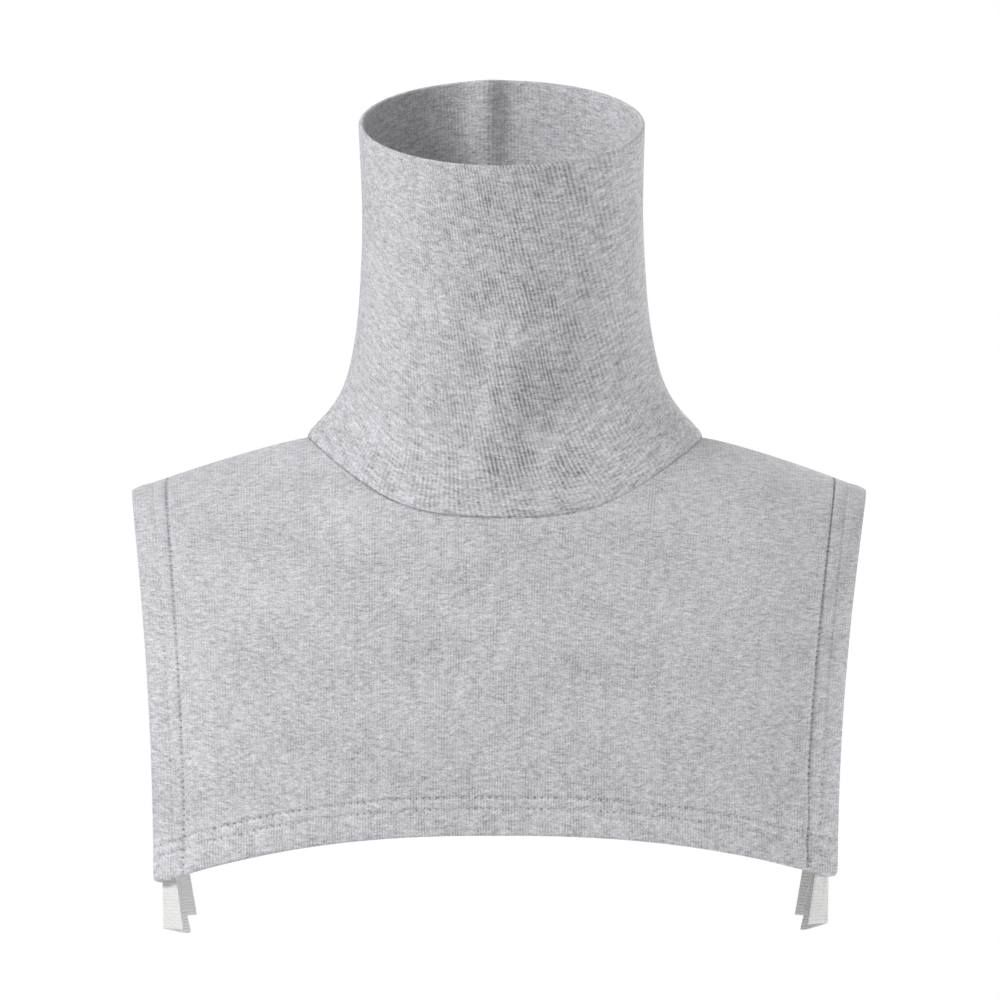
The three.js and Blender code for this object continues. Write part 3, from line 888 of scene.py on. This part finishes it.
def hemSteps(rows):
    # Distances from a hem's edge, close together where it is rounded, stitched and turned in.
    rounded = roundingSteps(hem["wall"] / 2, hem["roundingRows"])
    stitched = np.add.outer(rows, hem["rowSteps"]).ravel()
    turnedIn = hem["depth"] + hem["step"] * np.array(hem["turnedSteps"])
    steps = np.sort(np.concatenate([rounded, hem["flatSteps"], stitched, turnedIn]))
    return steps[np.append(True, np.diff(steps) > hem["leastStep"])]


def hemRelief(distance, rows, grooves):
    # A soft groove at each stitch row, and a slight swelling of the turned cloth between.
    relief = hem["puff"] * np.sin(np.clip(distance / rows[0], 0, 1) * math.pi) ** 2
    for row, depth in zip(rows, grooves):
        relief = relief - depth * bell(distance - row, hem["grooveWidth"])
    return relief


def roundCorner(aside, below, radius):
    # Carries the square between two edges onto a quarter disc.
    u = np.clip(1 - aside / radius, 0, 1)
    v = np.clip(1 - below / radius, 0, 1)
    inU = u - u * np.sqrt(1 - v * v / 2)
    inV = v - v * np.sqrt(1 - u * u / 2)
    return aside + radius * inU, below + radius * inV


def panelSpot(side, across, share):
    # A column of cloth starts on the neck seam or the shoulder line, fans out and ends at the hem.
    turn = np.clip(across / body["neckShare"], -1, 1) * quarterTurn
    neckAcross, neckAngle = neckSeamSpot(side, turn)
    onNeck = np.abs(across) <= body["neckShare"]
    out = np.clip((np.abs(across) - body["neckShare"]) / (1 - body["neckShare"]), 0, 1)
    topAcross = np.where(onNeck, neckAcross, np.sign(across) * mix(neckEdge, 1, out))
    topAngle = np.where(onNeck, neckAngle, 0)
    return mix(topAcross, across, share ** body["fanBend"]), mix(topAngle, quarterTurn, share)


def panelTopFacing(side, across):
    # The way the cloth faces along its top edge: the neck seam's, then the shoulder seam's.
    turn = np.clip(across / body["neckShare"], -1, 1) * quarterTurn
    atNeck = neckSeamFacing(turn if side["facing"] < 0 else math.pi - turn)
    slope = body["shoulderDrop"] / ((body["shoulderWidth"] - body["neckSeamWidth"]) / 2)
    atShoulder = unit(np.stack([np.sign(across) * slope, 0 * across, 1 + 0 * across], -1))
    out = smoothStep(body["neckShare"], body["neckShare"] + panel["facingTurn"], np.abs(across))
    return unit(mix(atNeck, atShoulder, out[..., None]))


def panelColumns():
    # Columns from side to side, close together at the hems, with one at each end of the neck seam.
    steps = hemSteps(stitching["sideRows"])
    edge = 1 - steps / halfHem
    middle = np.linspace(-edge[-1], edge[-1], panel["middleColumns"])[1:-1]
    for sign in (-1, 1):
        middle[np.abs(middle - sign * body["neckShare"]).argmin()] = sign * body["neckShare"]
    return np.concatenate([-edge, middle, edge[::-1]])


def makePanelGrids(side):
    across = panelColumns()[:, None]
    shares = np.linspace(0, 1, panel["fineness"])
    columns = panelPoint(side, *panelSpot(side, across, shares[None, :]))
    lengths = pathLengths(columns, 1)
    whole = lengths[:, -1:]
    steps = hemSteps(stitching["rows"])
    top = np.array(panel["seamSteps"])
    middle = np.linspace(0, 1, panel["middleRows"] + 2)[1:-1][None, :]
    middle = mix(top[-1], whole - steps[-1], middle)
    downs = np.concatenate([0 * whole + top, middle, whole - steps[::-1]], 1)
    below = whole - downs
    aside = np.broadcast_to((1 - np.abs(across)) * halfHem, below.shape)
    placedAside, placedBelow = roundCorner(aside, below, hem["cornerRadius"])
    placedAcross = np.sign(across) * (1 - placedAside / halfHem)
    share = shareAtLength(lengths, shares, whole - placedBelow)
    spotAcross, angle = panelSpot(side, placedAcross, share)
    points = panelPoint(side, spotAcross, angle)

    def faceNormals(grid):
        return gridNormals(grid) * side["facing"]

    folds = side["folds"] + side["creases"]
    push = foldPush(folds, "across", "down", lambda centre: across - centre, downs / whole)
    fade = np.minimum(downs / whole / body["foldFade"], 1)
    points = points + faceNormals(points) * (push * fade * body["foldDepth"])[..., None]
    normals = faceNormals(points)
    facing = panelTopFacing(side, across[:, 0])[:, None]
    own = smoothStep(0, panel["seamFacingFade"], downs)
    normals = unit(mix(facing, normals, own[..., None]))

    inSide = 1 - smoothStep(hem["depth"], hem["depth"] + hem["step"], aside)
    inBottom = 1 - smoothStep(hem["depth"], hem["depth"] + hem["step"], below)
    wall = mix(panel["wall"], hem["wall"], np.maximum(inSide, inBottom))
    wall = wall + hem["cornerWall"] * inSide * inBottom
    edge = roundedEdge(np.minimum(aside, below), hem["wall"] / 2)
    seam = roundedEdge(downs, panel["seamRounding"])
    sideRelief = hemRelief(aside, stitching["sideRows"], hem["sideGrooves"])
    bottomRelief = hemRelief(below, stitching["rows"], hem["grooves"])
    relief = sideRelief * smoothStep(*hem["crossingFade"], below)
    relief = relief + bottomRelief * smoothStep(*hem["crossingFade"], aside)
    relief = relief * smoothStep(0, panel["seamReliefFade"], downs)
    outer = points + normals * (relief - np.maximum(edge, seam))[..., None]
    inner = points - normals * (wall - edge)[..., None]
    inner[0], inner[-1], inner[:, -1] = outer[0], outer[-1], outer[:, -1]
    forward = np.abs(points[..., 1] - body["shoulderLineY"]) / panelReach(side, spotAcross)
    uv = np.stack([spotAcross * halfHem, points[..., 2] - panel["shoulderRun"] * forward], -1)
    return dict(
        outer=outer, inner=inner, normals=normals, uv=uv, aside=aside, below=below,
        across=across[:, 0], downs=downs,
    )


def makePanel(name, node, side, material):
    grids = makePanelGrids(side)
    atHem = 1 - smoothStep(*panel["ribsHemFade"], grids["below"])
    inMiddle = bell(grids["across"], panel["ribsMiddleWidth"])[:, None]
    openness = panel["ribsClosed"] + panel["ribsAtHem"] * atHem + panel["ribsInMiddle"] * inMiddle
    fromEdges = np.stack([grids["aside"], grids["below"]], -1)
    made = slabPiece(
        name, grids["outer"], grids["inner"], material,
        {"knit": grids["uv"], "hem": fromEdges}, {"rib_open": openness}, openTop=True,
    )
    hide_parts(node)
    return made, grids


# Stitches: short threads that dive into the cloth at both ends

thread = dict(
    radius=0.17,
    visible=0.86,  # the share of the pitch that lies on the cloth
    sunk=0.12,
    arch=1.6,  # how far the middle is over the ends, in radii
    endRadius=0.45,  # as a share of the radius
    rings=5,
    sides=6,
)


def stitchPoints(starts, ends, normals):
    # Each stitch is a capsule along a shallow arc: its middle lies on the cloth and its ends sink.
    radius = thread["radius"]
    share = np.linspace(0, 1, thread["rings"])
    arch = 4 * share * (1 - share)
    path = mix(starts[:, None], ends[:, None], share[None, :, None])
    lift = radius * thread["arch"] * (arch - 0.5) - thread["sunk"]
    path = path + normals[:, None] * lift[None, :, None]
    across = unit(np.cross(unit(ends - starts), normals))
    ring = ringDirections(across, normals, thread["sides"])
    swell = radius * mix(thread["endRadius"], 1, arch)
    return path[:, :, None] + ring[:, None] * swell[None, :, None, None]


def endQuads(ring):
    # Closes a tube's end by faces across its ring, from one side to the other.
    sides = len(ring) - 1
    side = np.arange(1, sides // 2)
    return np.stack([ring[side - 1], ring[side], ring[sides - side - 1], ring[sides - side]], 1)


def capsuleQuads(count, rings, sides):
    # Faces of many closed tubes.
    index = wrappedIndex(rings, sides, False)
    one = np.concatenate([gridQuads(index)[:, ::-1], endQuads(index[0]), endQuads(index[-1])[:, ::-1]])
    return (one[None] + (np.arange(count) * rings * sides)[:, None, None]).reshape(-1, 4)


def alongPath(path, values, spacing):
    # Points at an even spacing along a path, with values that are carried along.
    lengths = pathLengths(path, 0)
    count = max(2, int(lengths[-1] / spacing))
    places = np.linspace(0, lengths[-1], count + 1)
    spot = np.clip(np.searchsorted(lengths, places) - 1, 0, len(path) - 2)
    share = ((places - lengths[spot]) / (lengths[spot + 1] - lengths[spot]))[:, None]
    return mix(path[spot], path[spot + 1], share), mix(values[spot], values[spot + 1], share)


def stitchRow(path, normals):
    # A row of stitches along a path: the start, end and facing of each.
    points, facing = alongPath(path, normals, stitching["pitch"])
    return points[:-1], mix(points[:-1], points[1:], thread["visible"]), unit(facing[:-1])


def makeStitches(name, rows, material):
    starts, ends, normals = (np.concatenate(part) for part in zip(*rows))
    points = stitchPoints(starts, ends, normals)
    quads = capsuleQuads(len(starts), thread["rings"], thread["sides"])
    made = makePiece(name, points.reshape(-1, 3), quads, material)
    return made


def panelStitches(name, grids, material):
    # Two rows along the bottom hem and two along each side hem, on the grid's own lines.
    rows = []
    within = slice(stitching["linesLeftOut"], -stitching["linesLeftOut"])
    below = grids["below"][len(grids["below"]) // 2]
    for line in np.abs(below[:, None] - stitching["rows"]).argmin(0):
        rows.append(stitchRow(grids["outer"][within, line], grids["normals"][within, line]))
    aside = grids["aside"][: len(grids["aside"]) // 2, 0]
    for line in np.abs(aside[:, None] - stitching["sideRows"]).argmin(0):
        for place in (line, -1 - line):
            rows.append(stitchRow(grids["outer"][place, within], grids["normals"][place, within]))
    return makeStitches(name, rows, material)


# Seam allowances inside, overlocked

allowance = dict(
    depth=7,
    wall=2.2,
    sectionSides=16,
    flatness=0.35,  # exponents under 1 flatten the section's two faces and its two edges
    edgeFlatness=0.5,
    neckStart=1.2,  # from the seam, along the cloth
    shoulderStart=0.6,
    neckClearance=0.25,
    shoulderClearance=0.3,
    neckFacingRow=12,  # the grid's row whose facing the band takes
    shoulderFacingRow=8,
    ribsOpen=0.3,
    lastStep=3,  # round a closed band, from its last ring to the first
    neckMargin=0.03,  # from the neck seam to the shoulder band's end, as a share across
    hemMargin=1,
    threadRadius=0.2,
    threadSides=5,
    threadPitch=2.6,
    threadSteps=8,
    threadSwing=0.47,  # as a share of the depth
    threadLift=0.6,  # over the band's face, in radii
)


def threadTube(path, normals, closed):
    # A round section carried along a path, turned to the surface that the path lies on.
    along = unit(np.gradient(path, axis=0))
    across = unit(np.cross(along, normals))
    ring = ringDirections(across, np.cross(across, along), allowance["threadSides"])
    points = path[:, None] + ring * allowance["threadRadius"]
    index = wrappedIndex(len(path), allowance["threadSides"], closed)
    return points.reshape(-1, 3), gridQuads(index)


def makeAllowance(name, node, lower, upper, normals, closed, material):
    # A band from a lower to an upper line, whose section is a superellipse. The normals point out
    # through the band's back.
    across = unit(upper - lower)
    width = np.linalg.norm(upper - lower, axis=-1)
    half = allowance["wall"] / 2
    sides = allowance["sectionSides"]
    angles = np.arange(sides) / sides * 2 * math.pi
    wide, thick = np.cos(angles), np.sin(angles)
    wide = np.sign(wide) * np.abs(wide) ** allowance["flatness"]
    thick = np.sign(thick) * np.abs(thick) ** allowance["edgeFlatness"] * half
    middle = mix(lower, upper, 0.5) - normals * half
    section = middle[:, None] + across[:, None] * (wide[None, :, None] * width[:, None, None] / 2)
    section = section + normals[:, None] * thick[None, :, None]
    points = section.reshape(-1, 3)
    index = wrappedIndex(len(lower), sides, closed)
    quads = [gridQuads(index)]
    if not closed:
        quads += [endQuads(index[0]), endQuads(index[-1][::-1])]
    lengths = pathLengths(middle, 0)
    u = np.append(lengths, lengths[-1] + allowance["lastStep"])[: len(index)]
    v = np.linspace(0, 2 * allowance["depth"], sides + 1)
    uv = np.stack(np.broadcast_arrays(u[:, None], v[None, :]), -1)
    ends = np.zeros((sum(len(part) for part in quads[1:]), 4, 2))
    opened = np.full(len(points), allowance["ribsOpen"])
    made = makePiece(
        name, points, np.concatenate(quads), material,
        {"knit": np.concatenate([gridQuads(uv), ends])}, {"rib_open": opened},
    )
    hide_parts(node)
    return made, makeOverlock(name + "_thread", middle, across, normals, closed, material)


def makeOverlock(name, middle, across, normals, closed, material):
    # A thread that runs to and fro over the band's inner face, as a sine.
    steps = allowance["threadSteps"]
    directions = np.concatenate([across, normals], -1)
    path, directions = alongPath(middle, directions, allowance["threadPitch"] / steps)
    if closed:
        path, directions = path[:-1], directions[:-1]
    across, normals = unit(directions[:, :3]), unit(directions[:, 3:])
    swing = np.sin(np.arange(len(path)) * 2 * math.pi / steps)
    swing = swing * allowance["depth"] * allowance["threadSwing"]
    depth = allowance["wall"] / 2 + allowance["threadRadius"] * allowance["threadLift"]
    path = path + across * swing[:, None] - normals * depth
    made = makePiece(name, *threadTube(path, normals, closed), material)
    return made


def makeNeckAllowance(material):
    points, normals, lengths = (collarGrids[key][:-1] for key in ("points", "normals", "lengths"))
    inner = points - normals * (collar["wall"] + allowance["neckClearance"])
    start = allowance["neckStart"]
    lines = [pointsAtLength(inner, lengths, place) for place in (start, start + allowance["depth"])]
    facing = normals[:, allowance["neckFacingRow"]]
    return makeAllowance("neck_allowance", "neck_seam", *lines, facing, True, material)


def makeShoulderAllowance(sign, material):
    beyondNeck = sign * backGrids["across"] > body["neckShare"] + allowance["neckMargin"]
    fromSide = backGrids["aside"][:, 0]
    chosen = beyondNeck & (fromSide > hem["depth"] + hem["step"] + allowance["hemMargin"])
    normals = backGrids["normals"][chosen]
    inner = backGrids["inner"][chosen] - normals * allowance["shoulderClearance"]
    downs = backGrids["downs"][chosen]
    places = (allowance["shoulderStart"], allowance["depth"])
    lines = [pointsAtLength(inner, downs, place) for place in places]
    facing = normals[:, allowance["shoulderFacingRow"]]
    side = "left" if sign < 0 else "right"
    return makeAllowance(
        "shoulder_allowance_" + side, "shoulder_seam_" + side, *lines, facing, False, material,
    )


# Straps: white woven elastic from corner to corner under the arms

strap = dict(
    height=25,
    wall=1.2,
    lap=8.5,
    lapSteps=(1, 0.66, 0.33, 0),
    tuck=3,
    droop=5,
    bow=-4,
    tilt=6,
    flare=6,
    clearance=0.35,
    edgeMargin=0.8,  # from the hem's side edge
    pathSteps=600,
    steps=150,
    roundingRows=5,
    ribs=16,
    ribDepth=0.09,
    rowsPerRib=5,
    cut=(0.11, 0.025),  # flat, in metres
)

elastic = dict(
    colour=(0.76, 0.757, 0.75),
    darkShare=0.72,
    shade=0.18,
    weavePitch=0.9,
    cordPitch=1.56,
    weaveShade=0.1,
    grainScale=(1.1, 1.1),
    grainShade=0.08,
    relief=0.12,
    reliefStrength=0.8,
    surface={"Roughness": 0.7, "Sheen Weight": 0.1},
)


def elasticMaterial():
    # Pale cords that run the length of the band, crossed by fine ribs of the wrapping thread.
    material, tree, shader = newMaterial("elastic", elastic["surface"])
    place, lengthwise, crosswise = clothPlace(tree, "knit")

    def ribs(along, pitch):
        return math2(tree, "SINE", math2(tree, "MULTIPLY", along, 2 * math.pi / pitch))

    weave = ribs(lengthwise, elastic["weavePitch"])
    cords = ribs(crosswise, elastic["cordPitch"])
    grain = noise2(tree, place, elastic["grainScale"])
    crossed = math2(tree, "MULTIPLY", weave, cords)
    shade = math2(tree, "MULTIPLY_ADD", crossed, elastic["weaveShade"], elastic["shade"])
    shade = math2(tree, "MULTIPLY_ADD", grain, elastic["grainShade"], shade)
    mixColours(tree, shader, shade, elastic["colour"], tinted(elastic["colour"], elastic["darkShare"]))
    height = math2(tree, "ADD", weave, grain)
    addRelief(tree, shader, height, elastic["relief"], elastic["reliefStrength"])
    return material


def smoothPath(points, count):
    # A smooth curve through points, at even steps of its length.
    knots = np.concatenate([[0], np.cumsum(np.linalg.norm(np.diff(points, axis=0), axis=1) ** 0.5)])
    places = np.linspace(0, knots[-1], strap["pathSteps"])
    dense = np.stack([readCurve(knots, points[:, axis], places) for axis in range(3)], -1)
    lengths = pathLengths(dense, 0)
    even = np.linspace(0, lengths[-1], count)
    return np.stack([np.interp(even, lengths, dense[:, axis]) for axis in range(3)], -1)


def lapPoints(grids, sign):
    # The strap's upper edge behind a hem's corner, from the side inwards.
    aside = grids["aside"][:, 0]
    half = len(aside) // 2
    columns = np.arange(half) if sign < 0 else np.arange(half, len(aside))
    behind = hem["wall"] / 2 + hem["cornerWall"] + strap["clearance"]

    def behindHem(distance):
        column = columns[np.abs(aside[columns] - distance).argmin()]
        return grids["outer"][column, -1] - grids["normals"][column, -1] * behind

    edge, inset = behindHem(strap["edgeMargin"]), behindHem(hem["depth"])
    lap = strap["lap"] / hem["depth"]
    path = mix(edge[None], inset[None], lap * np.array(strap["lapSteps"])[:, None])
    path[:, 2] = edge[2] + strap["tuck"]
    return path


def strapEdges(sign):
    # The upper edge is a curve through the inner faces of both hem corners and a middle closer to
    # the body. Both edges hang lower in the middle. The lower one leans in, and it is longer by the
    # flare at both ends, where it runs straight on. Each comes with the way inwards along it.
    front, back = lapPoints(frontGrids, sign), lapPoints(backGrids, sign)[::-1]
    middle = (front[-1] + back[0]) / 2 + np.array([sign * strap["bow"], 0, 0])
    path = smoothPath(np.concatenate([front, middle[None], back]), strap["steps"])
    whole = pathLengths(path, 0)[-1]
    shares = np.linspace(0, 1, strap["steps"])
    directions = unit(np.gradient(path, axis=0) * np.array([1, 1, 0]))

    def onPath(wanted):
        within = np.clip(wanted, 0, 1)
        spots = within * (len(path) - 1)
        before = np.minimum(spots.astype(int), len(path) - 2)
        share = (spots - before)[:, None]
        along = unit(mix(directions[before], directions[before + 1], share))
        placed = mix(path[before], path[before + 1], share)
        placed = placed + along * ((wanted - within) * whole)[:, None]
        slack = np.sin(within * math.pi) ** 2
        placed[:, 2] -= strap["droop"] * slack
        return placed, np.stack([-sign * along[:, 1], sign * along[:, 0], 0 * slack], -1), slack

    upper, upperIn = onPath(shares)[:2]
    lower, lowerIn, slack = onPath(shares + (2 * shares - 1) * strap["flare"] / whole)
    lower = lower + lowerIn * (strap["tilt"] * slack)[:, None]
    lower[:, 2] -= strap["height"]
    return upper, upperIn, lower, lowerIn


def makeStrap(sign, material):
    # A band between the two edges, with rounded sides and ends, and with ribs along it as a cosine.
    upper, upperIn, lower, lowerIn = strapEdges(sign)
    half = strap["wall"] / 2
    rounded = roundingSteps(half, strap["roundingRows"]) / strap["height"]
    rows = np.linspace(rounded[-1], 1 - rounded[-1], strap["ribs"] * strap["rowsPerRib"] + 1)
    rows = np.concatenate([rounded[:-1], rows, 1 - rounded[:-1][::-1]])
    points = mix(upper[:, None], lower[:, None], rows[None, :, None])
    inwards = mix(upperIn[:, None], lowerIn[:, None], rows[None, :, None])
    lengths = pathLengths(upper, 0)
    fromEnd = np.minimum(lengths, lengths[-1] - lengths)[:, None]
    fromSide = np.minimum(rows, 1 - rows)[None, :] * strap["height"]
    inset = roundedEdge(np.minimum(fromEnd, fromSide), half)
    ribs = strap["ribDepth"] * np.cos(rows * strap["ribs"] * 2 * math.pi)[None, :] * (inset < 1e-6)
    outer = points + inwards * (inset - ribs)[..., None]
    inner = points + inwards * (strap["wall"] - inset + ribs)[..., None]
    for edge in (np.s_[0], np.s_[-1], np.s_[:, 0], np.s_[:, -1]):
        inner[edge] = outer[edge]
    uv = np.stack(np.broadcast_arrays(lengths[:, None], rows[None, :] * strap["height"]), -1)
    side = "left" if sign < 0 else "right"
    made = slabPiece("elastic_strap_" + side, outer, inner, material, {"knit": uv})
    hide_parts("strap_" + side)
    return made


# The build

print("camera and studio")
makeCamera()
makeStudio()

print("collar and panels")
collarKnit = knitMaterial("collar_knit")
panelKnit = knitMaterial("panel_knit", stitched=True)
collarPiece, collarGrids = makeCollar(collarKnit)
frontPiece, frontGrids = makePanel("front_knit", "front_panel", frontSide, panelKnit)
backPiece, backGrids = makePanel("back_knit", "back_panel", backSide, panelKnit)

print("stitches and seam allowances")
threadYarn = yarnMaterial()
frontStitches = panelStitches("front_stitches", frontGrids, threadYarn)
backStitches = panelStitches("back_stitches", backGrids, threadYarn)
neckAllowance = makeNeckAllowance(threadYarn)
leftAllowance = makeShoulderAllowance(-1, threadYarn)
rightAllowance = makeShoulderAllowance(1, threadYarn)

print("straps")
whiteElastic = elasticMaterial()
straps = [makeStrap(sign, whiteElastic) for sign in (-1, 1)]
